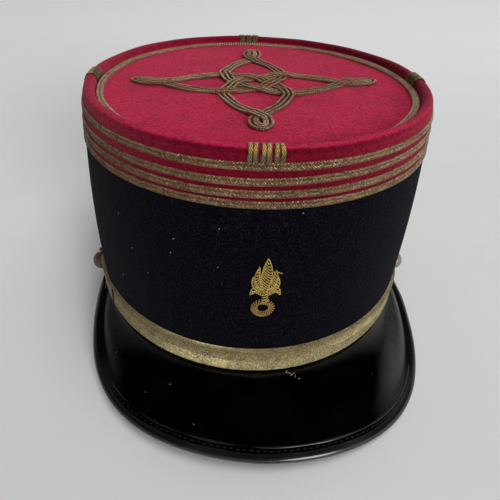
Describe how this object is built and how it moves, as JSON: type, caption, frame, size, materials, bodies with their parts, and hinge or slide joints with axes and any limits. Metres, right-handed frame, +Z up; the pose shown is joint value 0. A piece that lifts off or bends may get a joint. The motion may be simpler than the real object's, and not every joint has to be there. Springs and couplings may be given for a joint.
{
  "type": "kepi cap",
  "caption": "Officer's kepi: red recessed crown over a navy wool wall, gold soutache, cord knot, gold front strap, gold wire badge and a black patent leather visor.",
  "frame": {"origin": "middle of the bounding box's bottom, on the surface that the cap rests on", "axes": "+Z up, -Y towards the visor's front, +X towards the wearer's left"},
  "size_m": [0.174, 0.2294, 0.1189],
  "materials": {
    "navy_wool": "felted wool, dull nap",
    "red_wool": "felted wool, dull nap",
    "gold_cord": "tarnished gilt wire cord",
    "gold_bar": "gilt wire cord, yellower than the rest",
    "gold_lace": "tarnished woven gilt lace",
    "dark_thread": "dark brown thread",
    "old_brass": "brown, tarnished",
    "gold_wire": "bright gilt wire embroidery",
    "patent_leather": "glossy black patent",
    "rolled_leather": "semi-gloss black, stitched"
  },
  "bodies": {
    "root": {"crown_wall": "navy_wool", "crown_upper_wall": "red_wool", "crown_top": "red_wool", "crown_cord": "gold_cord", "crown_knot": "gold_cord", "strap": "gold_lace", "strap_keeper": "dark_thread", "button_left": "old_brass", "button_right": "old_brass", "eyelet_left": "dark_thread", "badge": "gold_wire", "visor": "patent_leather", "visor_binding": "rolled_leather", "braid_1": "gold_cord", "braid_2": "gold_cord", "braid_3": "gold_cord", "braid_4": "gold_cord", "bar_front_1": "gold_bar", "bar_front_2": "gold_bar", "bar_front_3": "gold_bar", "bar_rear_1": "gold_bar", "bar_rear_2": "gold_bar", "bar_rear_3": "gold_bar", "bar_left_1": "gold_bar", "bar_left_2": "gold_bar", "bar_left_3": "gold_bar", "bar_right_1": "gold_bar", "bar_right_2": "gold_bar", "bar_right_3": "gold_bar"}
  },
  "joints": []
}
